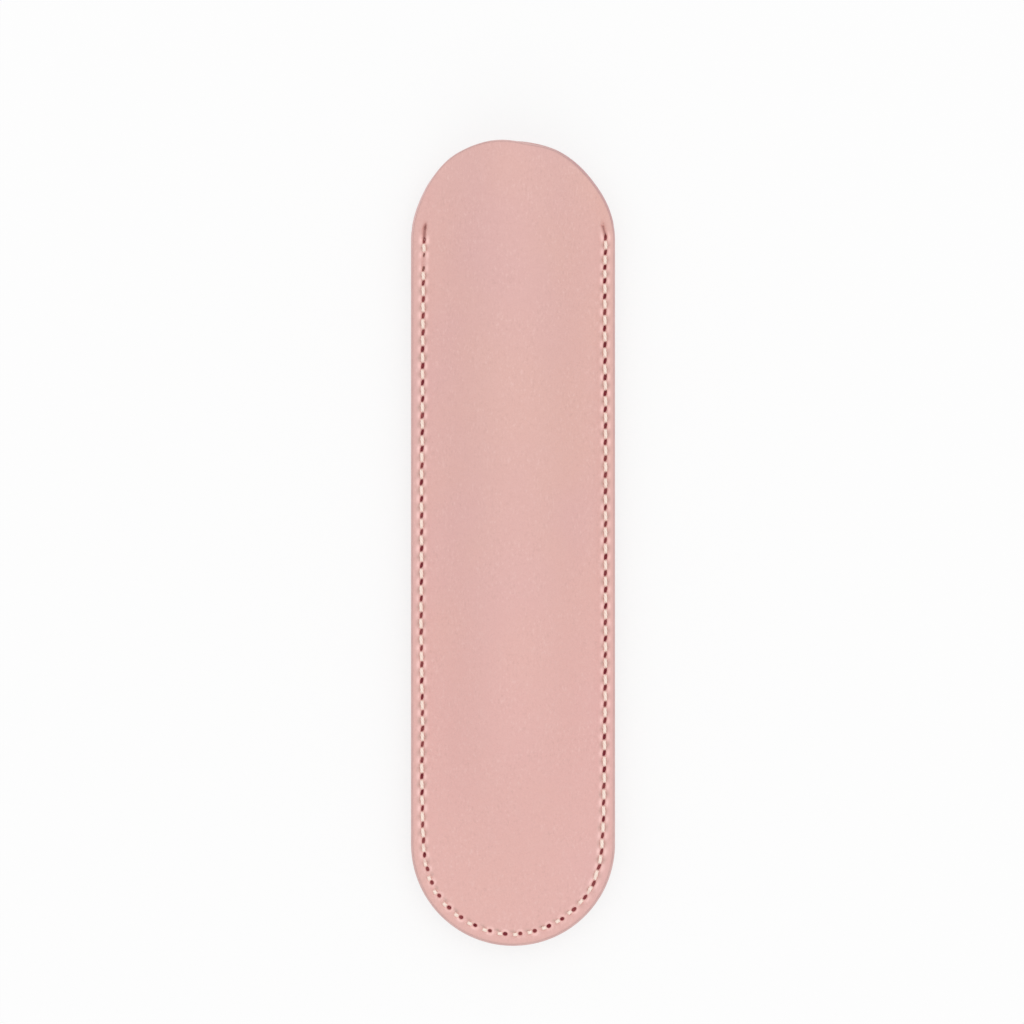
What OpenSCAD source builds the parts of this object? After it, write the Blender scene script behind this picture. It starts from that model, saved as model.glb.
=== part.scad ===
// A single pen sleeve of thin lined leather, lying on its back.
// The mouth points along +Y, the back panel rests on z = 0, and the origin is under the middle.
// Both panels keep the form that use has given them: the front one arches up from the seam, and
// the back one hangs below it as a shallow belly with a flat floor. The seam lies in one plane.

/* [Outline] */
// Width over the straight sides
sleeve_w = 40; // [38:1:46]
// Length from the closed end to the crown of the mouth
sleeve_l = 158; // [140:1:175]

/* [Leather and lining] */
// Thickness of a leather panel
leather_t = 1; // [0.8:0.1:1.2]
// Thickness of a lining
lining_t = 0.4; // [0.3:0.1:0.5]
// Thickness of the colour coat on the cut edges
coat_t = 0.15; // [0.1:0.05:0.2]

/* [Pocket] */
// Rise of the front panel above the seam, along its crest
front_rise = 10; // [8:0.2:11]
// Depth of the back panel's belly below the seam
belly_d = 3.2; // [2:0.1:4]
// Flat margin between the sleeve's side and the foot of the arch
arch_margin = 3.4; // [3.2:0.1:4]
// Flatness of the crest, where 1 is a plain cosine
crest_power = 1.15; // [1:0.05:1.3]
// Part of the belly's half width that is a flat floor
floor_part = 0.3; // [0.2:0.02:0.5]
// Distance from the closed end to where the panels part
toe_flat = 6; // [5:0.5:10]
// Length over which they part to the pocket's full depth
toe_rise = 40; // [30:1:50]

/* [Mouth] */
// Length of the unsewn lips, from the seam's ends to the crown
lip_l = 17; // [14:1:19]
// How far the crown of the front lip stops short of the back lip's
lip_setback = 0.95; // [0.6:0.05:2]
// Slope of the front lip's cut left of the middle, which puts its crown a little to the left
lip_skew = 0.135; // [0:0.005:0.2]
// Distance over which that slope dies away right of the middle
lip_skew_fade = 8; // [4:0.5:12]

/* [Seam] */
// Distance from the side to the row of stitches
seam_inset = 2.1; // [1.9:0.1:2.4]
// Extra distance of the row at the closed end
seam_toe_extra = 0.4; // [0:0.1:0.6]
// Short stitches that lock each end of the seam
tack_count = 4; // [2:1:6]
// Length of a locking stitch
tack_pitch = 2.75; // [2.4:0.05:3]
// Full stitches along each side
side_count = 34; // [28:1:40]
// Stitches round the closed end
toe_count = 19; // [15:2:23]
// Gap between two stitches at a needle hole
stitch_gap = 0.9; // [0.6:0.1:1.2]
// Width of the thread as it lies
thread_w = 0.8; // [0.6:0.05:1]
// Height of the thread above what it lies on
thread_h = 0.35; // [0.25:0.05:0.5]

/* [Mesh] */
// Strips across a panel's arch or belly
arch_strips = 14; // [10:2:20]
// Steps around a quarter of the closed end
toe_steps = 9; // [6:1:12]
// Steps around half of the mouth
lip_steps = 9; // [6:1:12]
// Steps along the straight sides
side_steps = 9; // [7:1:14]

/* [Hidden] */
$fn = 96;

end_r = sleeve_w / 2;
end_y = sleeve_l / 2 - end_r;
panel_r = end_r - coat_t;
panel_t = leather_t + lining_t;
stack_t = 2 * panel_t;
seam_top_z = belly_d + stack_t;
flex_y = sleeve_l / 2 - lip_l;
flex_a = asin((flex_y - end_y) / panel_r);
arch_half_w = end_r - arch_margin;
// The part of a narrow row that the strips of the arch take
narrow_part = 0.93;
// How the rows along the sides crowd towards the closed end
side_crowding = 1.4;
// Step of the slope measurement
slope_step = 0.01;

seam_x = end_r - seam_inset;
seam_toe_y = -end_y + seam_toe_extra;
seam_side_l = flex_y - seam_toe_y;
seam_arc_l = PI * seam_x;
seam_l = 2 * seam_side_l + seam_arc_l;
stitch_count = 2 * (tack_count + side_count) + toe_count;
side_pitch = (seam_side_l - tack_count * tack_pitch) / side_count;
toe_pitch = seam_arc_l / toe_count;

leather_colour = "#e2b5ae";
lining_colour = "#e6c0b7";
thread_colour = "#f6ebe4";
coat_colour = "#d1a9a5";

// Outer faces of the two panels

function ease(t) = let (c = max(0, min(1, t))) c * c * (3 - 2 * c);

// How far the pocket is open at a distance along the sleeve, from 0 to 1
function open_part(y) = ease((y + sleeve_l / 2 - toe_flat) / toe_rise);

function toe_half_w(y) = sqrt(max(0, pow(panel_r, 2) - pow(y + end_y, 2)));

// Half width over which the panels part
function arch_reach(y) = y >= -end_y ? arch_half_w
    : max(1, min(arch_half_w, toe_half_w(y) - arch_margin));

function arch_shape(u) = u >= 1 ? 0 : pow(cos(90 * pow(u, crest_power)), 2);

function belly_shape(u) = 1 - ease((u - floor_part) / (1 - floor_part));

function front_z(x, y) = seam_top_z + front_rise * open_part(y) * arch_shape(abs(x) / arch_reach(y));

function back_z(x, y) = belly_d - belly_d * open_part(y) * belly_shape(abs(x) / arch_reach(y));

function face_z(x, y, front) = front ? front_z(x, y) : back_z(x, y);

function slope_x(x, y, front) = (face_z(x + slope_step, y, front) - face_z(x - slope_step, y, front))
    / (2 * slope_step);

function slope_y(x, y, front) = (face_z(x, y + slope_step, front) - face_z(x, y - slope_step, front))
    / (2 * slope_step);

// The point that lies a given depth inside a panel's outer face, measured square to the leather
function in_panel(x, y, depth, front) = let (
        normal = [-slope_x(x, y, front), -slope_y(x, y, front), 1],
        inwards = (front ? -1 : 1) * normal / norm(normal))
    [x, y, face_z(x, y, front)] + depth * inwards;

// Rows across a panel, each as y and half width

function toe_rows() = [for (i = [1 : toe_steps]) let (a = 90 * i / toe_steps)
    [-end_y - panel_r * cos(a), panel_r * sin(a)]];

function side_rows() = [for (i = [1 : side_steps]) let (t = i / side_steps)
    [-end_y + 2 * end_y * pow(t, side_crowding), panel_r]];

function lip_angle(i) = flex_a + (90 - flex_a) * i / lip_steps;

function lip_crown_y(front) = end_y + panel_r - (front ? lip_setback : 0);

function lip_rows(front) = [for (i = [0 : lip_steps - 1]) let (
        a = lip_angle(i),
        part = (sin(a) - sin(flex_a)) / (1 - sin(flex_a)))
    [flex_y + (lip_crown_y(front) - flex_y) * part, panel_r * cos(a)]];

// Where a point of a row goes once the front lip's cut is skewed
function cut_y(x, y, front) = !front ? y
    : y - lip_skew * (1 - ease(x / lip_skew_fade)) * x * (1 - pow(x / panel_r, 2))
        * ease((y - flex_y) / (lip_crown_y(true) - flex_y));

// Places across one row: the two edges, and the strips of the arch between them
function row_places(half, reach) = let (inner = min(reach, narrow_part * half))
    concat([-half], [for (i = [0 : arch_strips]) inner * (2 * i / arch_strips - 1)], [half]);

function row_points(row, depth, front) = [for (x = row_places(row[1], arch_reach(row[0])))
    in_panel(x, cut_y(x, row[0], front), depth, front)];

function flatten(lists) = [for (list = lists) for (item = list) item];

// A closed sheet between two depths inside a panel's outer face, where upper is the face that
// looks up. Each end comes to a point where a pole is given, and is a straight cut where none is.
module sheet(rows, toe_pole, lip_pole, upper, lower, front) {
    cols = arch_strips + 3;
    last = len(rows) - 1;
    under = len(rows) * cols;
    toe_up = 2 * under;
    lip_up = toe_up + (is_undef(toe_pole) ? 0 : 2);
    poles = [for (p = [toe_pole, lip_pole]) if (!is_undef(p)) p];
    points = concat(
        flatten([for (row = rows) row_points(row, upper, front)]),
        flatten([for (row = rows) row_points(row, lower, front)]),
        [for (p = poles) each [in_panel(p[0], p[1], upper, front), in_panel(p[0], p[1], lower, front)]]);
    skins = [for (j = [0 : last - 1]) for (k = [0 : cols - 2]) let (
            a = j * cols + k,
            b = a + 1,
            c = a + cols,
            d = c + 1)
        each [[a, c, b], [b, c, d], [under + a, under + b, under + c],
              [under + b, under + d, under + c]]];
    sides = [for (j = [0 : last - 1]) let (
            a = j * cols,
            c = a + cols,
            b = a + cols - 1,
            d = b + cols)
        each [[a, under + a, c], [c, under + a, under + c], [b, d, under + b],
              [d, under + d, under + b]]];
    first_end = is_undef(toe_pole)
        ? [for (a = [0 : cols - 2]) each [[a, a + 1, under + a], [a + 1, under + a + 1, under + a]]]
        : concat(
            [for (a = [0 : cols - 2]) each [[toe_up, a, a + 1], [toe_up + 1, under + a + 1, under + a]]],
            [[toe_up, under, 0], [toe_up, toe_up + 1, under],
             [toe_up, cols - 1, under + cols - 1], [toe_up, under + cols - 1, toe_up + 1]]);
    e = last * cols;
    f = e + cols - 1;
    last_end = is_undef(lip_pole)
        ? [for (a = [e : f - 1]) each [[a, under + a, a + 1], [a + 1, under + a, under + a + 1]]]
        : concat(
            [for (a = [e : f - 1]) each [[lip_up, a + 1, a], [lip_up + 1, under + a, under + a + 1]]],
            [[lip_up, e, under + e], [lip_up, under + e, lip_up + 1],
             [lip_up, under + f, f], [lip_up, lip_up + 1, under + f]]);
    polyhedron(points, concat(skins, sides, first_end, last_end));
}

toe_tip = [0, -end_y - panel_r];
front_lip_tip = [0, lip_crown_y(true)];
back_lip_tip = [0, lip_crown_y(false)];

module front_sheet(upper, lower) {
    rows = concat(toe_rows(), side_rows(), [lip_rows(true)[0]]);
    sheet(rows, toe_tip, undef, upper, lower, true);
}

module front_lip_sheet(upper, lower) {
    sheet(lip_rows(true), undef, front_lip_tip, upper, lower, true);
}

module back_sheet(upper, lower) {
    rows = concat(toe_rows(), side_rows(), lip_rows(false));
    sheet(rows, toe_tip, back_lip_tip, upper, lower, false);
}

// Stations along a lip's edge: up the left side to the crown, then down the right side.
// Each holds x, y and the direction that the edge faces.
function lip_stations(front) = let (rows = lip_rows(front), tip = front ? front_lip_tip : back_lip_tip)
    concat(
        [for (i = [0 : lip_steps - 1]) [-rows[i][1], rows[i][0], 180 - lip_angle(i)]],
        [[tip[0], tip[1], 90]],
        [for (i = [lip_steps - 1 : -1 : 0]) [rows[i][1], rows[i][0], lip_angle(i)]]);

// The coat meets the leather and the lining triangle for triangle, so its inner wall has a
// line of points where those two meet, and its diagonals change over at the crown.
module lip_coat(upper, lower, front) {
    stations = lip_stations(front);
    last = len(stations) - 1;
    points = [for (s = stations) let (
            y = cut_y(s[0], s[1], front),
            up = in_panel(s[0], y, upper, front),
            down = in_panel(s[0], y, lower, front),
            middle = in_panel(s[0], y, leather_t, front),
            out = coat_t * [cos(s[2]), sin(s[2]), 0])
        each [up, up + out, down + out, down, middle]];
    walls = [for (j = [0 : last - 1]) for (k = [0 : 4]) let (
            a = 5 * j + k,
            b = 5 * j + (k + 1) % 5,
            c = a + 5,
            d = b + 5)
        each j < lip_steps ? [[a, b, d], [a, d, c]] : [[a, b, c], [b, d, c]]];
    first_end = [[4, 3, 2], [4, 2, 1], [4, 1, 0]];
    last_end = [for (t = first_end) [t[2] + 5 * last, t[1] + 5 * last, t[0] + 5 * last]];
    polyhedron(points, concat(walls, first_end, last_end));
}

// Seam

module outline(inset) {
    circle_r = end_r - inset;
    square([2 * circle_r, 2 * end_y], center = true);
    for (side = [-1, 1])
        translate([0, side * end_y]) circle(r = circle_r);
}

function seam_point(s) =
    s < seam_side_l ? [-seam_x, flex_y - s]
    : s > seam_side_l + seam_arc_l ? [seam_x, seam_toe_y + s - seam_side_l - seam_arc_l]
    : let (a = 180 + 180 * (s - seam_side_l) / seam_arc_l)
        [seam_x * cos(a), seam_toe_y + seam_x * sin(a)];

function seam_turn(s) =
    s < seam_side_l ? 0
    : s > seam_side_l + seam_arc_l ? 180
    : 180 * (s - seam_side_l) / seam_arc_l;

// Distance along the seam to needle hole k, where the second half mirrors the first
function hole_s(k) =
    k > stitch_count / 2 ? seam_l - hole_s(stitch_count - k)
    : k <= tack_count ? k * tack_pitch
    : k <= tack_count + side_count ? tack_count * tack_pitch + (k - tack_count) * side_pitch
    : seam_side_l + (k - tack_count - side_count) * toe_pitch;

module stitch(length) {
    straight = length - thread_w;
    linear_extrude(thread_h) {
        square([thread_w, straight], center = true);
        for (side = [-1, 1])
            translate([0, side * straight / 2]) circle(d = thread_w, $fn = 24);
    }
}

module stitch_row(z) {
    for (k = [0 : stitch_count - 1]) {
        s = (hole_s(k) + hole_s(k + 1)) / 2;
        place = seam_point(s);
        translate([place[0], place[1], z]) rotate([0, 0, seam_turn(s)])
            stitch(hole_s(k + 1) - hole_s(k) - stitch_gap);
    }
}

// Sub-parts

module back_leather() {
    color(leather_colour) back_sheet(leather_t, 0);
}

module back_lining() {
    color(lining_colour) back_sheet(panel_t, leather_t);
}

module front_leather() {
    color(leather_colour) front_sheet(0, leather_t);
}

module front_lining() {
    color(lining_colour) front_sheet(leather_t, panel_t);
}

module needle_thread() {
    color(thread_colour) stitch_row(seam_top_z);
}

module bobbin_thread() {
    color(thread_colour) stitch_row(belly_d - thread_h);
}

module seam_edge_coat() {
    color(coat_colour)
    translate([0, 0, belly_d]) linear_extrude(stack_t) difference() {
        outline(0);
        outline(coat_t);
        translate([-sleeve_w, flex_y]) square([2 * sleeve_w, sleeve_l]);
    }
}

module back_lip_edge_coat() {
    color(coat_colour) lip_coat(panel_t, 0, false);
}

module front_lip_leather() {
    color(leather_colour) front_lip_sheet(0, leather_t);
}

module front_lip_lining() {
    color(lining_colour) front_lip_sheet(leather_t, panel_t);
}

module front_lip_edge_coat() {
    color(coat_colour) lip_coat(0, panel_t, true);
}

back_leather();
back_lining();
front_leather();
front_lining();
needle_thread();
bobbin_thread();
seam_edge_coat();
back_lip_edge_coat();
front_lip_leather();
front_lip_lining();
front_lip_edge_coat();
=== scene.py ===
import math

import bmesh
import bpy
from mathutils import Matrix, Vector, noise
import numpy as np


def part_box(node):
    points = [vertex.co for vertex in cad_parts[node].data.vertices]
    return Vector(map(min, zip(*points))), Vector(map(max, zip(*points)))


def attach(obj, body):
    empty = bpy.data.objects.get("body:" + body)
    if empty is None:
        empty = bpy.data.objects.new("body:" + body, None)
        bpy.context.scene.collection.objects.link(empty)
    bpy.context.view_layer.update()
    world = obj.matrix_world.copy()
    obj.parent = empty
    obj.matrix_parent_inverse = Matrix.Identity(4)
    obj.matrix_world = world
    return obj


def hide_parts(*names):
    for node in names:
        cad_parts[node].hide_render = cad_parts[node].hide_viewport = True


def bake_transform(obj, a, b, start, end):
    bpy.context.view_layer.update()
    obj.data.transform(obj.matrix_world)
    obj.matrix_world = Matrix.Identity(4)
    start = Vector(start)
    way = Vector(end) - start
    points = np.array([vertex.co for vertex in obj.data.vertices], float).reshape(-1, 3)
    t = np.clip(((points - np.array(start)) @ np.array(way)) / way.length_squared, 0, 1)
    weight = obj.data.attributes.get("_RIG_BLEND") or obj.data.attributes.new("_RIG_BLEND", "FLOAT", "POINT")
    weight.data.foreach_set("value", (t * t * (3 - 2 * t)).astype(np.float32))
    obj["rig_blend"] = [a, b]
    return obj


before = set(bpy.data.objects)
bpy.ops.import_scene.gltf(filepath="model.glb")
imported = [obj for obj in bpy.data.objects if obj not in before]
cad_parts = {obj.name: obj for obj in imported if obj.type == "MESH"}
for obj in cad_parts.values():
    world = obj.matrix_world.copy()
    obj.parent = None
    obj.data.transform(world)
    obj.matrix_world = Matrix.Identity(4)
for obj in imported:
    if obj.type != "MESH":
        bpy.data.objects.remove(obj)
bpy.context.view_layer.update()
print("frame loaded:", len(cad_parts), "CAD nodes")

scene = bpy.context.scene

# Everything is worked out in millimetres and scaled to metres when a mesh is finished.
# The driving sizes come from the CAD frame.
coatLow, coatHigh = [corner * 1000 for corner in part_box("seam_edge_coat")]
halfWidth = coatHigh.x
halfLength = -coatLow.y
marginLow = coatLow.z      # underside of the sewn margin
marginTop = coatHigh.z     # upper side of the sewn margin
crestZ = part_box("front_leather")[1].z * 1000
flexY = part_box("front_lip_leather")[0].y * 1000     # the seam starts and the front lip bends here
endY = halfLength - halfWidth

form = {
    "leather": 1.0,          # thickness of one panel's leather
    "lining": 0.4,
    "coat": 0.15,
    "archMargin": 3.4,       # flat margin outside the arch
    "archPower": 1.15,
    "toeFlat": 6.0,
    "toeRise": 40.0,
    "stray": 0.14,           # how far the worked leather strays from the form
    "floorPart": 0.3,        # flat share of the back panel's belly
    "lipReach": 18.8,        # half width of the belly at the lip, where it is round
    "lipPower": 1.3,
    "roundStart": 12.0,      # how far below the seam's start the belly begins to turn round
    "roundRun": 18.0,        # and over what distance it does
}
lip = {
    "setback": 0.95,         # the front lip stops this much short of the back one
    "skew": 0.135,           # slope of the front lip's cut left of the middle
    "skewFade": 8.0,         # and over what distance it dies away right of it
    # where the cut strays from an even curve: how far, place from the middle, width
    "leftShoulder": (0.58, -13.8, 3.8),
    "rightShoulder": (0.16, 9.0, 3.2),
    "rightHollow": (0.33, 16.6, 2.8),
    "hollowRise": 4.0,       # distance over which the two on the right set in
    "bendBelow": 1.5,        # the bend of the flexing lip begins this far below the seam's start
    "bendPast": 1.3,         # and ends this far past the crown
}
panelT = form["leather"] + form["lining"]
skinRadius = halfWidth - form["coat"]
frontCrownY = endY + skinRadius - lip["setback"]
backCrownY = endY + skinRadius

seam = {
    "inset": 2.1,
    "toeExtra": 0.4,
    "tackCount": 4,          # short stitches that lock each end
    "tackPitch": 2.75,
    "sideCount": 34,
    "toeCount": 19,
    "leanLeft": 0.85,        # how far the row leans inwards at its start
    "leanRight": 0.32,
    "leanStart": 53.0,       # where along the sleeve the lean sets in, and how long it grows
    "leanRun": 9.4,
    "creepReach": 4.0,       # how far inside the outline the creep holds, and how it fades there
    "creepFade": 12.0,
    "domeRun": 25.4,         # length of the outline from the seam's start to the crown
}
# The row was guided by hand: how far its holes have crept along it, and how far it wanders
# inwards, on each side, as (run, distance).
seamCreep = {
    -1: [(-26, 0), (0, 0.2), (15, 0.1), (31, 0.3), (60, 0.57), (80, 0.76), (92, 0.6), (106, 0.05),
         (116, -0.15), (123, -0.35), (131, -0.6), (138, -0.45), (144, -0.1), (150, 0)],
    1: [(-26, 0), (0, -0.5), (5, -0.37), (8, -0.15), (12, -0.33), (17, -0.6), (30, -0.7), (36, -0.9),
        (74, -1.05), (88, -1.18), (110, -1.3), (120, -1.25), (126, -0.9), (130, -0.3), (136, 0.17),
        (143, 0.17), (150, 0)],
}
seamWander = {
    -1: [(-26, 0), (0, -0.05), (6, 0.37), (30, 0.21), (42, 0.15), (48, 0.02), (65, 0), (77, -0.1),
         (88, 0.04), (97, 0.21), (107, 0.06), (116, 0.18), (122, 0.43), (126, 0.33), (131, 0), (140, 0),
         (149, -0.15)],
    1: [(-26, 0), (-0.5, 0.05), (2.4, -0.37), (8, -0.07), (27, -0.07), (34, -0.2), (80, -0.19),
        (93, -0.14), (99, 0), (107, 0.04), (115, 0.18), (121.5, 0.46), (125.5, 0.36), (131, 0.06),
        (136, 0.12), (140, 0.04), (149, -0.15)],
}
seamRadius = halfWidth - seam["inset"]
seamToeY = -endY + seam["toeExtra"]
sideRun = flexY - seamToeY
toePitch = math.pi * seamRadius / seam["toeCount"]
lockRun = seam["tackCount"] * seam["tackPitch"]
sidePitch = (sideRun - lockRun) / seam["sideCount"]
lockedCount = seam["tackCount"] + seam["sideCount"]
halfCount = lockedCount + seam["toeCount"] / 2
halfRun = sideRun + seam["toeCount"] / 2 * toePitch
stitchCount = 2 * lockedCount + seam["toeCount"]


def ease(t):
    c = min(max(t, 0.0), 1.0)
    return c * c * (3.0 - 2.0 * c)


def mix(a, b, t):
    return a + (b - a) * t


def bell(x, width):
    return math.exp(-(x / width) ** 2)


def hill(x, height, place, width):
    return height * bell(x - place, width)


def chance(k, channel):
    # a value of about -1 to 1 that is the same on every run
    return noise.noise(Vector((k * 7.31 + 0.5, channel * 3.77 + 0.25, 0.4))) * 1.6


# Form of the two panels

def openPart(y):
    # 0 at the closed end, where the panels lie flat, and 1 where they have their full height
    return ease((y + halfLength - form["toeFlat"]) / form["toeRise"])


def archReach(y):
    # half width of the arch
    if y >= -endY:
        return halfWidth - form["archMargin"]
    return max(1.0, math.sqrt(max(0.0, halfWidth ** 2 - (y + endY) ** 2)) - form["archMargin"])


def bellyPart(x, y):
    # the back panel has a flat floor along the sleeve and turns round at the lip
    reach = archReach(y)
    part = 1 - ease((abs(x) / reach - form["floorPart"]) / (1 - form["floorPart"]))
    turned = ease((y - flexY + form["roundStart"]) / form["roundRun"])
    if turned == 0:
        return part
    u = min(1.0, abs(x) / mix(reach, form["lipReach"], turned))
    return mix(part, math.cos(math.pi / 2 * u ** form["lipPower"]) ** 2, turned)


def faceZ(x, y, front):
    if not front:
        return marginLow - marginLow * openPart(y) * bellyPart(x, y)
    u = abs(x) / archReach(y)
    if u >= 1:
        return marginTop
    # the stray has long waves, and shorter ones half as high
    stray = noise.noise(Vector((x * 0.06, y * 0.035, 3.7)))
    stray += 0.5 * noise.noise(Vector((x * 0.13, y * 0.09, 9.1)))
    rise = crestZ - marginTop - form["stray"] * (1 - stray)
    return marginTop + rise * openPart(y) * math.cos(math.pi / 2 * u ** form["archPower"]) ** 2


def panelPoint(x, y, height, front):
    # the point this far out from the panel's outer face
    step = 0.04
    slopeX = (faceZ(x + step, y, front) - faceZ(x - step, y, front)) / (2 * step)
    slopeY = (faceZ(x, y + step, front) - faceZ(x, y - step, front)) / (2 * step)
    outward = Vector((-slopeX, -slopeY, 1)).normalized()
    if not front:
        outward = -outward
    return Vector((x, y, faceZ(x, y, front))) + outward * height


def lipCut(x, y, front):
    # the front lip is cut shorter than the back one, and both a little askew; up is the share of
    # the front lip's height, and its left shoulder swells out sooner than the skew grows
    if y <= flexY:
        return y
    hollow = hill(x, *lip["rightHollow"]) - hill(x, *lip["rightShoulder"])
    hollow *= ease((y - flexY) / lip["hollowRise"])
    if not front:
        return y - hollow
    cut = flexY + (y - flexY) * (frontCrownY - flexY) / (backCrownY - flexY) - hollow
    up = (cut - flexY) / (frontCrownY - flexY)
    skew = lip["skew"] * (1 - ease(x / lip["skewFade"]))
    shift = -skew * x * (1 - min(1.0, (x / skinRadius) ** 2))
    return cut + shift * ease(up) + hill(x, *lip["leftShoulder"]) * ease(up * 1.8)


# The row of stitches. A run is a distance along it in millimetres, 0 at its start by the mouth
# and halfRun at the middle of the closed end. Left and right sides mirror each other.

def holeRun(k):
    # where needle hole k lies along the row, or a place between two holes
    if k <= seam["tackCount"]:
        return k * seam["tackPitch"]
    if k <= lockedCount:
        return lockRun + (k - seam["tackCount"]) * sidePitch
    return sideRun + (k - lockedCount) * toePitch


def valueAt(knots, run):
    for (run0, value0), (run1, value1) in zip(knots, knots[1:]):
        if run <= run1:
            return mix(value0, value1, ease((run - run0) / (run1 - run0)))
    return knots[-1][1]


def seamSpot(run, side):
    # where the row lies on the left half: distance from the middle line, and place along it
    if run < sideRun:
        y = flexY - run
        lean = seam["leanLeft"] if side < 0 else seam["leanRight"]
        return seamRadius - lean * max(0.0, (y - seam["leanStart"]) / seam["leanRun"]) ** 2, y
    a = (run - sideRun) / seamRadius
    return seamRadius * math.cos(a), seamToeY - seamRadius * math.sin(a)


def rayAt(run, side):
    # a ray square to the sleeve's outline: its spine point, its direction and the row's inset
    reach, y = seamSpot(max(run, 0.0), side)
    spineY = min(max(y, -endY), endY)
    distance = math.hypot(reach, y - spineY)
    angle = math.atan2(y - spineY, reach)
    inset = halfWidth - distance
    if run < 0:
        # past the row's start the ray turns to the crown
        part = -run / seam["domeRun"]
        angle = mix(angle, math.pi / 2, part)
        inset = mix(inset, seam["inset"], ease(part * 3))
    return spineY, side * math.cos(angle), math.sin(angle), inset + valueAt(seamWander[side], run)


def planPoint(run, side, t):
    # the point a distance t inside the outline, seen from above; near the row it follows the row
    near = ease(t - form["coat"]) * (1 - ease((t - form["archMargin"]) / 6.0))
    run += valueAt(seamCreep[side], run) * (1 - ease((t - seam["creepReach"]) / seam["creepFade"]))
    spineY, dx, dy, inset = rayAt(run, side)
    reach = halfWidth - t - (inset - seam["inset"]) * near
    return reach * dx, spineY + reach * dy


# Relief of the leather along the row. The offsets are measured from the nearest needle hole:
# along, towards the closed end, and across, away from the edge.

needle = {
    "depth": 0.62,
    "halfLong": 0.69,        # half length of a hole on the sides
    "halfShort": 0.285,
    "slant": 11.5,           # degrees
    "slantVary": 4.0,
    "toeLong": 0.42,         # the same four round the closed end
    "toeShort": 0.35,
    "toeSlant": -4.0,
    "toeSlantVary": 14.0,
    "roundness": 2.15,
    "sizeVary": 0.12,        # how much the holes differ in size, and how far they stray off the row
    "aside": 0.05,
}
tightHoles = {(-1, 2): 0.6, (-1, 3): 0.8}     # holes pulled small, with paler painted shade in them, and their size
# stitches that sink out of sight: side, where along the row, and how deep
sunkStitches = [(-1, -0.34, 1.0, 1.0), (-1, 2.0, 3.0, 0.35), (1, 0.05, 1.0, 0.8)]

drawn = {
    "reach": 5.3,            # how far inside the outline the thread draws the leather
    "groove": 0.15,          # depth of the groove that the stitches lie in
    "ridge": 0.07,           # height of the leather on both sides of it
    "ridgeWave": 0.03,       # and how much that grows at each hole
    "pucker": 0.09,          # the small swelling beside each hole
    "firstHole": 0.45,       # depth of the row's first hole against the others
    "sunk": 0.5,             # depth over a stitch that sinks out of sight
}


def toePart(k, side):
    # 0 on the sides and 1 round the closed end, where the row changes; the right side's long
    # slanted holes run on further than the left's
    return ease((k - lockedCount + (1 if side < 0 else -1.5)) / 5)


def holeSpace(k, hole, across, side):
    # place in a hole's own space, where the hole's rim lies one unit from its middle
    q = toePart(hole, side)
    size = (1 + needle["sizeVary"] * chance(hole, 3 + side)) * tightHoles.get((side, hole), 1.0)
    slant = mix(needle["slant"], needle["toeSlant"], q)
    slant += mix(needle["slantVary"], needle["toeSlantVary"], q) * chance(hole, 8 + side)
    slant = math.radians(-side * slant)
    along = holeRun(k) - holeRun(hole)
    across -= needle["aside"] * chance(hole, 12 + side)
    a = (along * math.cos(slant) - across * math.sin(slant)) / mix(needle["halfLong"], needle["toeLong"], q)
    b = (along * math.sin(slant) + across * math.cos(slant)) / mix(needle["halfShort"], needle["toeShort"], q)
    return a / size, b / size


def sunkAt(k, side):
    for sunkSide, start, stop, depth in sunkStitches:
        if side == sunkSide and start < k < stop:
            return depth * ease((k - start) / 0.15) * ease((stop - k) / 0.12)
    return 0.0


def seamRelief(k, across, side):
    # the groove, the ridges beside it and, near a hole, its pucker and its hollow
    if k < -1.2:
        return 0.0
    live = ease((k + 0.6) / 0.6)
    ridge = drawn["ridge"] + drawn["ridgeWave"] * math.cos(2 * math.pi * k)
    height = -drawn["groove"] * bell(across, 0.5) * live
    height += ridge * live * (bell(across - 0.95, 0.5) + 0.8 * bell(across + 0.92, 0.42))
    if k > -0.4:
        hole = max(0, round(k))
        size = drawn["firstHole"] if hole == 0 else 1.0
        a, b = holeSpace(k, hole, across, side)
        power = needle["roundness"]
        radius = (abs(a) ** power + abs(b) ** power) ** (1 / power)
        height += drawn["pucker"] * bell(abs(b) - 2.1, 0.7) * bell(a, 1.2) * size
        height -= needle["depth"] * size * (1 - ease((radius - 0.55) / 0.6))
    return height - drawn["sunk"] * sunkAt(k, side) * bell(across, 0.27)


# Mesh building. A piece starts as a flat grid whose columns run round the sleeve and whose rows
# run across it; each vertex is then put in its place, and the seams close as doubles merge. A
# column is a station (side, k, run), and a row is a pair (distance inside the outline, depth).

weldReach = 0.0005           # vertices as close as this become one


def roundStations(cuts, domeSteps):
    # once round the outline from the crown, down the left side and up the right
    half = [((i - domeSteps) / 4, -seam["domeRun"] * (1 - i / domeSteps)) for i in range(domeSteps)]
    for hole in range(int(halfCount) + 1):
        half += [(hole + cut, holeRun(hole + cut)) for cut in cuts if hole + cut < halfCount]
    half.append((halfCount, halfRun))
    left = [(-1, k, run) for k, run in half]
    right = [(1, k, run) for k, run in reversed(half[:-1])]
    return left + right


def wrapGrid(stations, rows, place):
    bm = bmesh.new()
    columns = len(stations)
    bmesh.ops.create_grid(bm, x_segments=columns - 1, y_segments=len(rows) - 1, size=1)
    bm.verts.ensure_lookup_table()
    for n, vert in enumerate(bm.verts):
        vert.co = place(stations[n % columns], rows[n // columns])
    return bm


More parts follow.
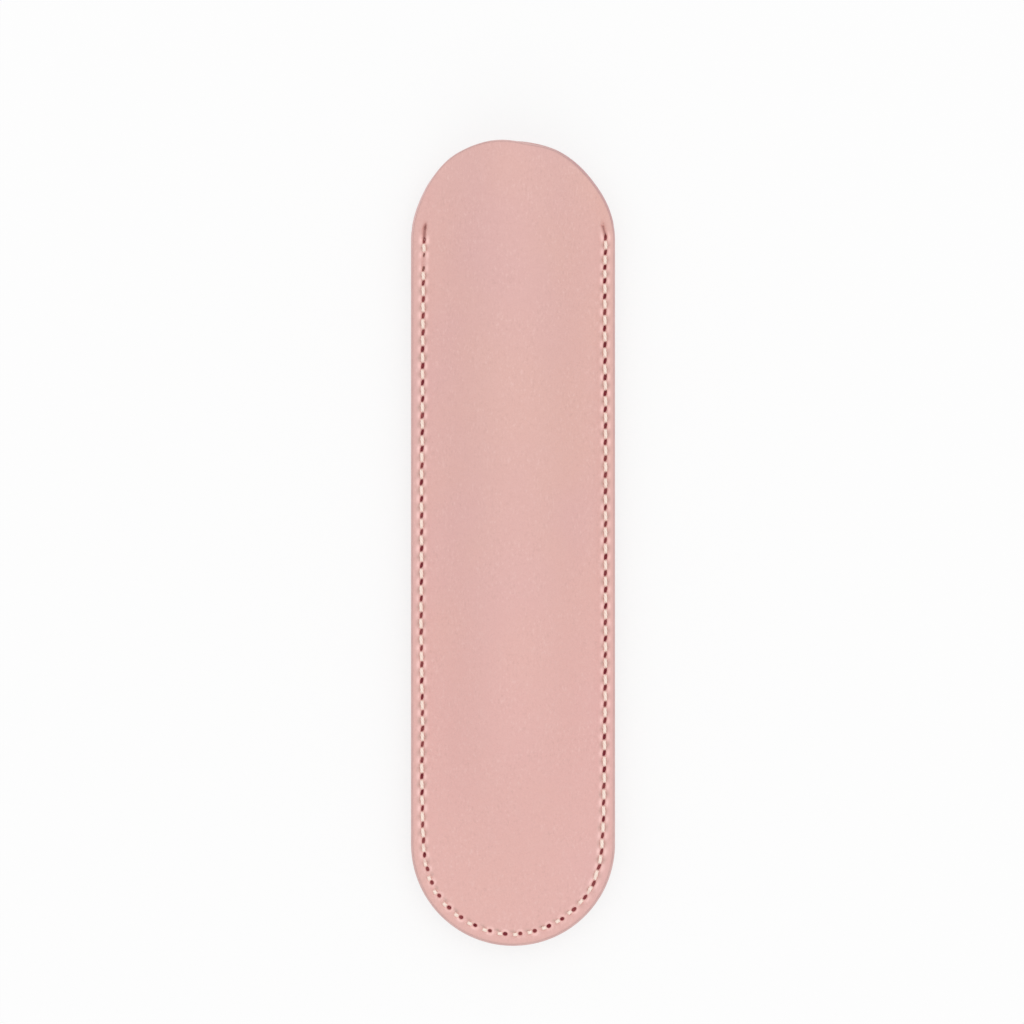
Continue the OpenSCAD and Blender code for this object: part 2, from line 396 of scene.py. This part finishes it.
def finishMesh(bm, name, weld=weldReach):
    bmesh.ops.remove_doubles(bm, verts=bm.verts, dist=weld)
    bmesh.ops.dissolve_degenerate(bm, edges=bm.edges, dist=weld * 0.5)
    bmesh.ops.recalc_face_normals(bm, faces=bm.faces)
    bmesh.ops.scale(bm, verts=bm.verts, vec=(0.001, 0.001, 0.001))
    for face in bm.faces:
        face.smooth = len(face.verts) <= 4
    mesh = bpy.data.meshes.new(name)
    bm.to_mesh(mesh)
    bm.free()
    piece = bpy.data.objects.new(name, mesh)
    scene.collection.objects.link(piece)
    print(name, len(mesh.polygons), "faces")
    return piece


# One panel's leather or lining: rows from the middle line of the outer face, round the edge, to
# the middle line of the inner face.

seamMarkNames = ("sunkStitch", "highlightBesideHole", "besideStitch", "tightHole")
# one unit of a UV map in stitches along the row, millimetres inside the outline and a hole's units
alongUnit, insideUnit, holeUnit = 10.0, 20.0, 10.0

marks = {
    "highlightAside": 0.68,       # the painted highlights beside a hole: how far off the row, width, length
    "highlightWidth": 0.3,
    "highlightLength": 0.9,
    "ringRadius": 0.66,      # the painted highlight ring round a hole of the closed end
    "ringWidth": 0.25,
    "shadeAside": 0.66,      # the shade beside a stitch: how far off the row, width, share of it
    "shadeWidth": 0.27,
    "shadePart": 0.23,
    "toeShadeAside": 0.5,    # and the same round the closed end
    "toeShadeWidth": 0.24,
    "toeShadePart": 0.16,
    "tightWidth": 0.7,
}


def seamMarks(k, t, side):
    # how strongly a place is part of a sunk stitch, of the painted highlight beside a needle
    # hole, of the painted shade beside a stitch, and of a tight hole
    if k < -0.5 or t > 5:
        return 0.0, 0.0, 0.0, 0.0
    across = t - seam["inset"]
    hole = max(0, round(k))
    away = abs(holeRun(k) - holeRun(hole))
    distance = math.hypot(away, across)
    part = k - math.floor(k)
    q = toePart(hole, side)
    sunk = sunkAt(k, side)
    beside = bell(abs(across) - marks["highlightAside"], marks["highlightWidth"])
    ring = bell(distance - marks["ringRadius"], marks["ringWidth"])
    ring *= 0.55 + 0.35 * math.cos(math.atan2(across, away) - 2.2 * chance(hole, 41 + side))
    pale = mix(beside * bell(away, marks["highlightLength"]), ring, q)
    pale *= (0.95 + 0.3 * chance(hole, 31 + side)) * ease((k - 0.3) / 0.5)
    pale = max(0.0, pale, 0.75 * beside * sunk * ease((k - 0.4) / 0.4))
    shade = 0.0
    if k >= 1 and not sunk:
        shade = bell(abs(across) - marks["shadeAside"], marks["shadeWidth"])
        shade *= bell(part - 0.5, marks["shadePart"])
        toeShade = 1.3 * bell(across - marks["toeShadeAside"], marks["toeShadeWidth"])
        toeShade *= bell(part - 0.46, marks["toeShadePart"])
        shade = mix(shade, toeShade, q) * max(0.0, 0.9 + 0.3 * chance(math.floor(k), 35 + side))
    tight = bell(distance, marks["tightWidth"]) if (side, hole) in tightHoles else 0.0
    return sunk * bell(across, 0.24), pale, shade, tight


def markPanel(bm, stations, rows):
    # the marks on the outer face, and UV maps along the edge and in each hole's own space
    columns = len(stations)
    alongEdge = bm.loops.layers.uv.new("alongEdge")
    needleHole = bm.loops.layers.uv.new("needleHole")
    for face in bm.faces:
        first = min(loop.vert.index % columns for loop in face.loops)
        hole = max(0, round((stations[first][1] + stations[first + 1][1]) / 2))
        for loop in face.loops:
            side, k, run = stations[loop.vert.index % columns]
            t, depth = rows[loop.vert.index // columns]
            a, b = holeSpace(k, hole, t - seam["inset"], side)
            loop[alongEdge].uv = (k / alongUnit, t / insideUnit)
            loop[needleHole].uv = (a / holeUnit + 0.5, b / holeUnit + 0.5)
    for mark in seamMarkNames:
        bm.verts.layers.float.new(mark)
    layers = [bm.verts.layers.float[mark] for mark in seamMarkNames]
    for n, vert in enumerate(bm.verts):
        side, k, run = stations[n % columns]
        t, depth = rows[n // columns]
        if depth == 0:
            for layer, value in zip(layers, seamMarks(k, t, side)):
                vert[layer] = value


def panelPiece(name, front, cuts, domeSteps, rows):
    stations = roundStations(cuts, domeSteps)

    def place(station, row):
        side, k, run = station
        t, depth = row
        x, y = planPoint(run, side, t)
        height = -depth
        if depth == 0 and t < drawn["reach"]:
            height = seamRelief(k, t - seam["inset"], side)
        return panelPoint(x, lipCut(x, y, front), height, front)

    bm = wrapGrid(stations, rows, place)
    markPanel(bm, stations, rows)
    return finishMesh(bm, name)


fineCuts = (0, 0.065, 0.13, 0.2, 0.3, 0.5, 0.7, 0.8, 0.87, 0.935)
coarseCuts = (0, 0.5)
middleRows = [20, 19.5, 18.8, 18, 17.2, 16.4, 15.5, 14.6, 13.6, 12.6, 11.6, 10.6, 9.6, 8.6, 7.7, 6.8,
              6, 5.3, 4.7, 4.2, 3.8]
seamRows = [3.45, 3.12, 2.84, 2.6, 2.42, 2.27, 2.15, 2.04, 1.92, 1.78, 1.62, 1.42, 1.15, 0.86, 0.62]
innerRows = [0.6, 2.2, 3.4, 4.6, 6.2, 8, 10, 12, 14, 16, 18, 20]

leatherRows = [(t, 0.0) for t in middleRows + seamRows]
leatherRows += [(0.44, 0.015), (0.32, 0.07), (0.24, 0.18), (0.2, 0.34), (0.2, 0.6), (0.24, 0.9)]
leatherRows += [(t, form["leather"] - 0.01) for t in innerRows]
liningRows = [(t, form["leather"]) for t in (20, 15, 10, 6, 3.4, 1.2, 0.4)]
liningRows += [(0.24, form["leather"] + 0.08), (0.24, panelT - 0.1)]
liningRows += [(t, panelT - 0.01) for t in (0.34, 0.8, 1.6, 2.6, 3.4, 4.0, 4.7, 5.5, 6.4, 7.4, 8.4, 9.5,
                                           10.6, 11.8, 13, 14.2, 15.4, 16.6, 17.8, 19, 20)]

frontLeather = panelPiece("frontLeather", True, fineCuts, 40, leatherRows)
backLeather = panelPiece("backLeather", False, fineCuts, 40, leatherRows)
frontLining = panelPiece("frontLining", True, coarseCuts, 20, liningRows)
backLining = panelPiece("backLining", False, coarseCuts, 20, liningRows)
print("panels done")


# Edge coats: a rounded skin of colour on the cut edges, swept round the outline. A section is a
# closed ring of the same pairs.

coat = {
    "split": 0.22,           # depth of the groove where the panels part, at the seam's ends
    "splitWidth": 0.14,
    "splitRun": 1.6,         # stitches over which it closes
    "tuck": 0.07,            # how far each coat draws in where the sewn and the lip's coats meet
    "tuckRun": 0.45,
}
lipSection = [(0.38, 0.025), (0.3, 0.05), (0.21, 0.11), (0.13, 0.2), (0.065, 0.32), (0.02, 0.5), (0.0, 0.7),
              (0.02, 0.9), (0.065, 1.08), (0.13, 1.2), (0.21, 1.29), (0.3, 1.35), (0.4, 1.38), (0.36, 1.3),
              (0.28, 1.15), (0.26, 0.7), (0.28, 0.25), (0.34, 0.1)]
beltSection = [(0.38, 0.025), (0.3, 0.05), (0.21, 0.11), (0.13, 0.2), (0.065, 0.34), (0.025, 0.55),
               (0.01, 0.85), (0.025, 1.15), (0.05, 1.3), (0.06, 1.4), (0.05, 1.5), (0.025, 1.65),
               (0.01, 1.95), (0.025, 2.25), (0.065, 2.46), (0.13, 2.6), (0.21, 2.69), (0.3, 2.75),
               (0.38, 2.775), (0.34, 2.7), (0.28, 2.4), (0.26, 1.4), (0.28, 0.4), (0.34, 0.1)]


def sweptCoat(name, stations, section, place):
    bm = wrapGrid(stations, section + section[:1], place)
    bmesh.ops.remove_doubles(bm, verts=bm.verts, dist=weldReach)
    bmesh.ops.holes_fill(bm, edges=bm.edges, sides=0)
    return finishMesh(bm, name)


def beltCoat():
    stations = [station for station in roundStations((0, 0.25, 0.5, 0.75), 20) if station[1] >= 0]

    def place(station, row):
        side, k, run = station
        t, depth = row
        inward = coat["tuck"] * (1 - ease(k / coat["tuckRun"]))
        if t < 0.2:
            split = coat["split"] * (1 - ease(k / coat["splitRun"]))
            inward += split * bell(depth - panelT, coat["splitWidth"])
        x, y = planPoint(run, side, t + inward)
        return Vector((x, y, marginTop - depth))

    return sweptCoat("seamEdgeCoat", stations, beltSection, place)


def lipCoat(name, front):
    # the coat runs on a little way under the sewn length's coat
    whole = roundStations((0, 0.15, 0.3, 0.5), 60)
    left = [(side, k, run) for side, k, run in whole if side < 0 and k <= 0.5]
    stations = left[::-1] + [(1, k, run) for side, k, run in left[1:]]

    def place(station, row):
        side, k, run = station
        t, depth = row
        x, y = planPoint(run, side, t + coat["tuck"] * ease(k / coat["tuckRun"]))
        return panelPoint(x, lipCut(x, y, front), -depth, front)

    return sweptCoat(name, stations, lipSection, place)


seamEdgeCoat = beltCoat()
frontLipCoat = lipCoat("frontLipCoat", True)
backLipCoat = lipCoat("backLipCoat", False)
print("edge coats done")


# Stitches: each is a twisted three-ply thread that rises from one needle hole, lies on the
# leather and dives into the next.

thread = {
    "width": 0.76,
    "height": 0.58,
    "plies": 3,
    "plyRelief": 0.10,
    "turns": 0.9,            # twist within one stitch
    "lie": 0.14,             # height of the thread's middle over the groove on the sides
    "toeLie": 0.06,          # and round the closed end
    "lieVary": 0.02,
    "dive": 0.62,
    "end": 0.42,             # how far from the middle of its hole a stitch ends
    "tackEnd": 0.1275,       # the same for a short stitch, as a share of its pitch
    "skew": 0.07,            # how far a stitch's ends lie aside of the row
    "toeAside": 0.08,        # how far the stitches lie outwards round the closed end
    "toeDrift": 0.012,       # and how they drift inwards there from left to right, per millimetre
    "rings": 13,
    "sides": 12,
}


def stitchRings(number, front):
    # the rings of one stitch: middle, swelling, share of the way along it and how far it dives
    side = -1 if number < halfCount else 1
    first = number if side < 0 else stitchCount - number - 1
    if sunkAt(first + 0.5, side):
        return []
    q = toePart(first + 0.5, side)
    start = thread["tackEnd"]
    if first >= seam["tackCount"]:
        start = thread["end"] / (sidePitch if first < lockedCount else toePitch)
    rings = []
    for n in range(thread["rings"]):
        f = n / (thread["rings"] - 1)
        s, k = side, first + mix(start, 1 - start, f)
        if k > halfCount:
            s, k = -side, 2 * halfCount - k
        x, y = planPoint(holeRun(k), s, seam["inset"])
        across = -side * mix(-thread["skew"], thread["skew"], f) - thread["toeAside"] * q
        across += thread["toeDrift"] * x * toePart(k, -1)
        x, y = planPoint(holeRun(k), s, seam["inset"] + across)
        # on the sides a stitch lies free between its holes; round the closed end it bites
        # into the leather and shows only beside the hole on its right. The steps are shares of
        # the way from one end of the stitch to the other
        g = f if side < 0 else 1 - f
        end = min(f, 1 - f)
        rise = mix(ease(end / 0.26), min(ease((g - 0.36) / 0.2), ease((1 - g) / 0.12)), q)
        shown = mix(ease((end - 0.04) / 0.12), min(ease((g - 0.46) / 0.14), ease((1 - g) / 0.04)), q)
        swell = math.sqrt(1 - (1 - min(1.0, end / mix(0.14, 0.09, q))) ** 2)
        lie = mix(thread["lie"], thread["toeLie"], q)
        lift = mix(-thread["dive"], lie, rise) + thread["lieVary"] * chance(number, 20)
        rings.append((panelPoint(x, lipCut(x, y, front), lift, front), swell, f, 1 - shown))
    return rings


def stitchRow(name, front):
    whole = bmesh.new()
    uvMap = whole.loops.layers.uv.new("alongThread")
    diveLayer = whole.verts.layers.float.new("diving")
    last, sides = thread["rings"] - 1, thread["sides"]
    up = Vector((0, 0, 1 if front else -1))
    for number in range(stitchCount):
        rings = stitchRings(number, front)
        if not rings:
            continue
        made = bmesh.ops.create_grid(whole, x_segments=last, y_segments=sides, size=1)["verts"]
        spots = {vert: (n % len(rings), n // len(rings)) for n, vert in enumerate(made)}
        for vert, (ring, slot) in spots.items():
            centre, swell, f, dive = rings[ring]
            vert[diveLayer] = dive
            ahead = rings[min(ring + 1, last)][0] - rings[max(ring - 1, 0)][0]
            ahead.z = 0
            ahead.normalize()
            angle = 2 * math.pi * slot / sides
            twist = thread["plies"] * (angle + 2 * math.pi * thread["turns"] * f)
            radius = swell * (1 - thread["plyRelief"] * (1 + math.cos(twist)))
            vert.co = centre + up.cross(ahead) * (math.cos(angle) * thread["width"] / 2 * radius)
            vert.co += up * (math.sin(angle) * thread["height"] / 2 * radius)
        for face in {face for vert in made for face in vert.link_faces}:
            for loop in face.loops:
                ring, slot = spots[loop.vert]
                loop[uvMap].uv = (ring / last, slot / sides)
    return finishMesh(whole, name, 0.0002)


needleStitches = stitchRow("needleStitches", True)
bobbinStitches = stitchRow("bobbinStitches", False)
print("stitches done")


# Materials. Patterns are laid out in millimetres on Object coordinates, or along the piece's own
# UV maps where they follow the edge and the stitches.

def newMaterial(name, colour):
    material = bpy.data.materials.new(name)
    material.use_nodes = True
    material.diffuse_color = (*colour, 1)
    tree = material.node_tree
    return material, tree, tree.nodes["Principled BSDF"]


def addNode(tree, kind, inputs=None, **settings):
    node = tree.nodes.new(kind)
    for setting, value in settings.items():
        setattr(node, setting, value)
    for socket, value in (inputs or {}).items():
        if isinstance(value, bpy.types.NodeSocket):
            tree.links.new(value, node.inputs[socket])
        else:
            node.inputs[socket].default_value = value
    return node


def calc(tree, operation, *values):
    return addNode(tree, "ShaderNodeMath", dict(enumerate(values)), operation=operation).outputs[0]


def band(tree, value, low, high, most=1.0):
    # rises smoothly from 0 at low to most at high, either way round
    start, end = (0.0, most) if low < high else (most, 0.0)
    inputs = {"Value": value, "From Min": min(low, high), "From Max": max(low, high)}
    inputs.update({"To Min": start, "To Max": end})
    node = addNode(tree, "ShaderNodeMapRange", inputs, interpolation_type="SMOOTHSTEP")
    return node.outputs["Result"]


def markOn(tree, name):
    return addNode(tree, "ShaderNodeAttribute", attribute_name=name).outputs["Fac"]


def tint(tree, factor, under, over):
    node = addNode(tree, "ShaderNodeMix", data_type="RGBA")
    for socket, value in ((0, factor), (6, under), (7, over)):
        if isinstance(value, bpy.types.NodeSocket):
            tree.links.new(value, node.inputs[socket])
        else:
            node.inputs[socket].default_value = (*value, 1) if isinstance(value, tuple) else value
    return node.outputs[2]


def stretched(tree, place, scale):
    return addNode(tree, "ShaderNodeMapping", {"Vector": place, "Scale": scale}).outputs[0]


def inMillimetres(tree):
    place = addNode(tree, "ShaderNodeTexCoord").outputs["Object"]
    return stretched(tree, place, (1000, 1000, 1000))


def axesOf(tree, place):
    split = addNode(tree, "ShaderNodeSeparateXYZ", {0: place})
    return split.outputs["X"], split.outputs["Y"]


def cloud(tree, place, scale, detail=2.0, roughness=0.5):
    inputs = {"Vector": place, "Scale": scale, "Detail": detail, "Roughness": roughness}
    return addNode(tree, "ShaderNodeTexNoise", inputs).outputs["Fac"]


def uvAxes(tree, name):
    return axesOf(tree, addNode(tree, "ShaderNodeUVMap", uv_map=name).outputs[0])


def embossed(tree, shader, height, depth, strength):
    bump = addNode(tree, "ShaderNodeBump", {"Height": height, "Distance": depth, "Strength": strength})
    tree.links.new(bump.outputs[0], shader.inputs["Normal"])


leatherLook = {
    "rose": (0.750, 0.447, 0.427),
    "peach": (0.770, 0.463, 0.408),
    "closedEnd": (0.815, 0.460, 0.427),    # the rose is warmer towards the closed end
    "worn": (0.800, 0.500, 0.462),
    # painted shade in the grain's hollows
    "grainHollowShade": (0.660, 0.390, 0.360),
    "paleFleck": (0.860, 0.570, 0.530),
    "darkFleck": (0.610, 0.365, 0.330),
    "edge": (0.660, 0.410, 0.375),
    # painted highlight beside the needle holes
    "paintedHighlight": (0.995, 0.640, 0.600),
    "shade": (0.560, 0.370, 0.325),
    # painted shade inside the needle holes: wine dark, lighter where light is painted in, and in tight holes
    "needleHole": (0.330, 0.042, 0.062),
    "needleHoleLit": (0.480, 0.150, 0.150),
    "tightHole": (0.480, 0.240, 0.210),
    # painted shade in the groove over a sunk stitch
    "sunkStitchShade": (0.500, 0.250, 0.230),
    "roughness": 0.56,
    "specular": 0.38,
    "grainDepth": 0.00017,
}


def hideColour(tree, place, grain, mottle):
    look = leatherLook
    # peach on the right near the mouth, and on the left near the closed end
    across, along = axesOf(tree, place)
    drift = calc(tree, "MULTIPLY_ADD", band(tree, along, -70, 50), 0.034, -0.02)
    drift = calc(tree, "MULTIPLY_ADD", across, drift, 0.24)
    patch = band(tree, cloud(tree, place, 0.05, 1.5), 0.3, 0.7)
    patch = calc(tree, "MULTIPLY_ADD", patch, 0.55, drift)
    colour = tint(tree, patch, look["rose"], look["peach"])
    colour = tint(tree, band(tree, along, 25, -45, 0.5), colour, look["closedEnd"])
    colour = tint(tree, band(tree, mottle, 0.42, 0.66, 0.16), colour, look["worn"])
    # painted shade where the grain lies low
    colour = tint(tree, band(tree, grain, 0.56, 0.36, 0.2), colour, look["grainHollowShade"])
    # flecks drawn out along the sleeve, gathered in some places
    flecks = cloud(tree, stretched(tree, place, (2.1, 1.1, 2.1)), 1.0, 2.0, 0.55)
    gather = band(tree, cloud(tree, place, 0.14, 1.0), 0.32, 0.6)
    gather = calc(tree, "MULTIPLY_ADD", gather, 0.75, 0.25)
    pale = calc(tree, "MULTIPLY", band(tree, flecks, 0.56, 0.7, 0.42), gather)
    dark = calc(tree, "MULTIPLY", band(tree, flecks, 0.44, 0.3, 0.3), gather)
    colour = tint(tree, pale, colour, look["paleFleck"])
    return tint(tree, dark, colour, look["darkFleck"])


def sewnColour(tree, place, colour):
    look = leatherLook
    k, t = uvAxes(tree, "alongEdge")
    # darker towards the edge
    edge = band(tree, calc(tree, "MULTIPLY", t, insideUnit), 0.75, 0.25, 0.75)
    colour = tint(tree, edge, colour, look["edge"])
    # painted highlight beside each needle hole, painted shade beside each stitch, and painted shade over sunk
    # stitches
    colour = tint(tree, markOn(tree, "highlightBesideHole"), colour, look["paintedHighlight"])
    shade = calc(tree, "MULTIPLY", markOn(tree, "besideStitch"), 0.75)
    colour = tint(tree, shade, colour, look["shade"])
    colour = tint(tree, band(tree, markOn(tree, "sunkStitch"), 0.15, 0.85), colour, look["sunkStitchShade"])
    # needle holes with painted shade in them: wine dark in most, with painted light in some, more of it on
    # the left, and paler in the tight holes
    a, b = uvAxes(tree, "needleHole")
    powers = []
    for axis in (a, b):
        distance = calc(tree, "ABSOLUTE", calc(tree, "MULTIPLY_ADD", axis, holeUnit, -holeUnit / 2))
        powers.append(calc(tree, "POWER", distance, needle["roundness"]))
    radius = calc(tree, "ADD", *powers)
    onRow = band(tree, calc(tree, "MULTIPLY", k, alongUnit), 0.4, 0.6)
    hole = calc(tree, "MULTIPLY", band(tree, radius, 1.35, 0.6), onRow)
    across, along = axesOf(tree, place)
    paintedHoleLight = band(tree, cloud(tree, place, 0.21, 0.0), 0.42, 0.6, 0.7)
    paintedHoleLight = calc(tree, "ADD", paintedHoleLight, band(tree, across, 6, -6, 0.15))
    paintedHoleShade = tint(tree, paintedHoleLight, look["needleHole"], look["needleHoleLit"])
    paintedHoleShade = tint(tree, band(tree, markOn(tree, "tightHole"), 0.0, 0.35), paintedHoleShade, look["tightHole"])
    return tint(tree, hole, colour, paintedHoleShade)


def leatherMaterial():
    look = leatherLook
    material, tree, shader = newMaterial("roseLeather", look["rose"])
    place = inMillimetres(tree)
    grain = cloud(tree, place, 3.4, 4.0, 0.62)
    mottle = cloud(tree, place, 0.55, 3.0, 0.6)
    colour = sewnColour(tree, place, hideColour(tree, place, grain, mottle))
    tree.links.new(colour, shader.inputs["Base Color"])
    rough = calc(tree, "MULTIPLY_ADD", grain, 0.16, look["roughness"] - 0.08)
    tree.links.new(rough, shader.inputs["Roughness"])
    shader.inputs["Specular IOR Level"].default_value = look["specular"]
    # pores and fine creases
    pores = addNode(tree, "ShaderNodeTexVoronoi", {"Vector": place, "Scale": 1.9, "Smoothness": 0.6},
                    feature="SMOOTH_F1").outputs["Distance"]
    height = calc(tree, "MULTIPLY_ADD", pores, 0.55, grain)
    height = calc(tree, "MULTIPLY_ADD", mottle, 0.9, height)
    embossed(tree, shader, height, look["grainDepth"], 0.55)
    return material


liningLook = {
    "nap": (0.790, 0.535, 0.480),
    # painted shade where the nap lies low, between its fibres
    "deep": (0.700, 0.445, 0.400),
    "brushed": (0.830, 0.585, 0.530),
    "roughness": 0.95,
    "specular": 0.15,
    "sheen": 0.25,
    "napDepth": 0.00012,
}


def liningMaterial():
    look = liningLook
    material, tree, shader = newMaterial("roseMicrofibre", look["nap"])
    place = inMillimetres(tree)
    fibre = cloud(tree, stretched(tree, place, (1.6, 0.55, 1.6)), 3.0, 5.0, 0.7)
    brushed = cloud(tree, place, 0.16, 3.0, 0.6)
    # painted shade where the nap lies low, between its fibres
    colour = tint(tree, band(tree, fibre, 0.34, 0.66), look["deep"], look["nap"])
    colour = tint(tree, band(tree, brushed, 0.4, 0.65, 0.3), colour, look["brushed"])
    tree.links.new(colour, shader.inputs["Base Color"])
    shader.inputs["Roughness"].default_value = look["roughness"]
    shader.inputs["Specular IOR Level"].default_value = look["specular"]
    shader.inputs["Sheen Weight"].default_value = look["sheen"]
    shader.inputs["Sheen Roughness"].default_value = 0.5
    embossed(tree, shader, fibre, look["napDepth"], 0.7)
    return material


coatLook = {
    "colour": (0.640, 0.398, 0.378),
    "rubbed": (0.690, 0.440, 0.414),
    "thin": (0.735, 0.480, 0.465),         # painted light, towards the left of the mouth
    "paintedShadeRight": (0.570, 0.325, 0.325),        # painted shade, towards the right of the mouth
    "roughness": 0.48,
    "specular": 0.4,
    "lumpDepth": 0.00012,
}


def coatMaterial():
    look = coatLook
    material, tree, shader = newMaterial("edgeColour", look["colour"])
    place = inMillimetres(tree)
    lumps = cloud(tree, place, 0.35, 3.0, 0.5)
    specks = cloud(tree, place, 5.0, 2.0, 0.5)
    colour = tint(tree, band(tree, lumps, 0.35, 0.7), look["colour"], look["rubbed"])
    across, along = axesOf(tree, place)
    # painted light on the coat left of the mouth and painted shade right of it
    mouth = band(tree, along, 55.0, 66.0, 0.8)
    thin = calc(tree, "MULTIPLY", mouth, band(tree, across, -6.0, -14.0))
    paintedShadeRight = calc(tree, "MULTIPLY", mouth, band(tree, across, 4.0, 13.0))
    colour = tint(tree, thin, colour, look["thin"])
    colour = tint(tree, paintedShadeRight, colour, look["paintedShadeRight"])
    tree.links.new(colour, shader.inputs["Base Color"])
    rough = calc(tree, "MULTIPLY_ADD", specks, 0.2, look["roughness"] - 0.1)
    tree.links.new(rough, shader.inputs["Roughness"])
    shader.inputs["Specular IOR Level"].default_value = look["specular"]
    height = calc(tree, "MULTIPLY_ADD", specks, 0.3, lumps)
    embossed(tree, shader, height, look["lumpDepth"], 0.5)
    return material


threadLook = {
    "ply": (0.990, 0.830, 0.735),
    # painted shade in the grooves between the plies
    "groove": (0.860, 0.660, 0.565),
    "dive": (0.760, 0.470, 0.420),
    "roughness": 0.62,
    "specular": 0.3,
    "sheen": 0.1,
    "fuzzDepth": 0.00005,
}


def threadMaterial():
    look = threadLook
    material, tree, shader = newMaterial("creamThread", look["ply"])
    along, around = uvAxes(tree, "alongThread")
    turn = calc(tree, "MULTIPLY_ADD", along, thread["turns"], around)
    wave = calc(tree, "COSINE", calc(tree, "MULTIPLY", turn, 2 * math.pi * thread["plies"]))
    # painted shade in the grooves between the plies
    colour = tint(tree, band(tree, wave, 0.2, 1.0, 0.6), look["ply"], look["groove"])
    colour = tint(tree, markOn(tree, "diving"), colour, look["dive"])
    tree.links.new(colour, shader.inputs["Base Color"])
    shader.inputs["Roughness"].default_value = look["roughness"]
    shader.inputs["Specular IOR Level"].default_value = look["specular"]
    shader.inputs["Sheen Weight"].default_value = look["sheen"]
    fuzz = cloud(tree, inMillimetres(tree), 9.0, 3.0, 0.7)
    embossed(tree, shader, fuzz, look["fuzzDepth"], 0.6)
    return material


leatherFinish = leatherMaterial()
liningFinish = liningMaterial()
coatFinish = coatMaterial()
threadFinish = threadMaterial()
dress = [
    (frontLeather, leatherFinish, "leather"), (backLeather, leatherFinish, "leather"),
    (frontLining, liningFinish, "lining"), (backLining, liningFinish, "lining"),
    (seamEdgeCoat, coatFinish, "edge_coat"), (frontLipCoat, coatFinish, "edge_coat"),
    (backLipCoat, coatFinish, "edge_coat"), (needleStitches, threadFinish, "thread"),
    (bobbinStitches, threadFinish, "thread"),
]
for piece, finish, slotName in dress:
    piece.data.materials.append(finish)
print("materials done")

# Bodies: the front lip's pieces bend from the sewn sleeve into the lip
bendStart = (0, (flexY - lip["bendBelow"]) / 1000, marginTop / 1000)
bendEnd = (0, (frontCrownY + lip["bendPast"]) / 1000, marginTop / 1000)
for piece in (frontLeather, frontLining, frontLipCoat):
    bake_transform(piece, "sleeve", "front_lip", start=bendStart, end=bendEnd)
for piece in (backLeather, backLining, seamEdgeCoat, backLipCoat, needleStitches, bobbinStitches):
    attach(piece, "sleeve")
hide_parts("front_leather", "front_lip_leather")
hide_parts("front_lining", "front_lip_lining")
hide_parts("front_lip_edge_coat")
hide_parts("back_leather")
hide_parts("back_lining")
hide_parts("seam_edge_coat")
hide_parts("back_lip_edge_coat")
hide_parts("needle_thread")
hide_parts("bobbin_thread")


# Floor, light and camera

studio = {
    "cameraPlace": (-0.0002, 0.0060, 1.006),
    "lens": 179.6,
    "sensor": 36,
    "floorSize": 6.0,
    "floorColour": (0.93, 0.93, 0.93, 1),
    "whiteShare": 0.75,      # how much of the floor's own white the camera sees over its shadow
    "sky": 0.93,
    "lampSize": 1.2,
    "lampEnergy": 2.4,
    "lampPlace": (0.25, 0.45, 1.5),
}


def seenRays(tree):
    # 1 for what the camera sees, straight or in a gloss, and 0 for light on the sleeve
    rays = addNode(tree, "ShaderNodeLightPath").outputs
    return calc(tree, "MAXIMUM", rays["Is Camera Ray"], rays["Is Glossy Ray"])


floorBm = bmesh.new()
bmesh.ops.create_grid(floorBm, x_segments=1, y_segments=1, size=studio["floorSize"] / 2)
floorMesh = bpy.data.meshes.new("floor")
floorBm.to_mesh(floorMesh)
floorBm.free()
floor = bpy.data.objects.new("floor", floorMesh)
scene.collection.objects.link(floor)

floorFinish, floorTree, floorShader = newMaterial("paleFloor", studio["floorColour"][:3])
floorShader.inputs["Base Color"].default_value = studio["floorColour"]
floorShader.inputs["Roughness"].default_value = 0.9
floorShader.inputs["Specular IOR Level"].default_value = 0.1
glow = addNode(floorTree, "ShaderNodeEmission", {"Color": (1, 1, 1, 1), "Strength": 1.0}).outputs[0]
share = calc(floorTree, "MULTIPLY", seenRays(floorTree), studio["whiteShare"])
whitened = addNode(floorTree, "ShaderNodeMixShader", {0: share, 1: floorShader.outputs[0], 2: glow})
floorTree.links.new(whitened.outputs[0], floorTree.nodes["Material Output"].inputs["Surface"])
floor.data.materials.append(floorFinish)

world = bpy.data.worlds.new("softbox")
scene.world = world
world.use_nodes = True
sky = world.node_tree.nodes["Background"]
sky.inputs["Color"].default_value = (1, 1, 1, 1)
skySeen = seenRays(world.node_tree)
skyLevel = calc(world.node_tree, "MULTIPLY_ADD", skySeen, 1 - studio["sky"], studio["sky"])
world.node_tree.links.new(skyLevel, sky.inputs["Strength"])

lampData = bpy.data.lights.new("overheadLamp", "AREA")
lampData.shape = "SQUARE"
lampData.size = studio["lampSize"]
lampData.energy = studio["lampEnergy"]
lamp = bpy.data.objects.new("overheadLamp", lampData)
lamp.location = studio["lampPlace"]
lamp.rotation_euler = Vector(studio["lampPlace"]).to_track_quat("Z", "Y").to_euler()
scene.collection.objects.link(lamp)

cameraData = bpy.data.cameras.new("camera")
cameraData.lens = studio["lens"]
cameraData.sensor_width = studio["sensor"]
cameraData.clip_start = 0.01
cameraData.clip_end = 50
camera = bpy.data.objects.new("camera", cameraData)
camera.location = studio["cameraPlace"]
camera.rotation_euler = (0, 0, 0)     # straight down
scene.collection.objects.link(camera)
scene.camera = camera
scene.view_settings.view_transform = "Standard"
print("studio done")
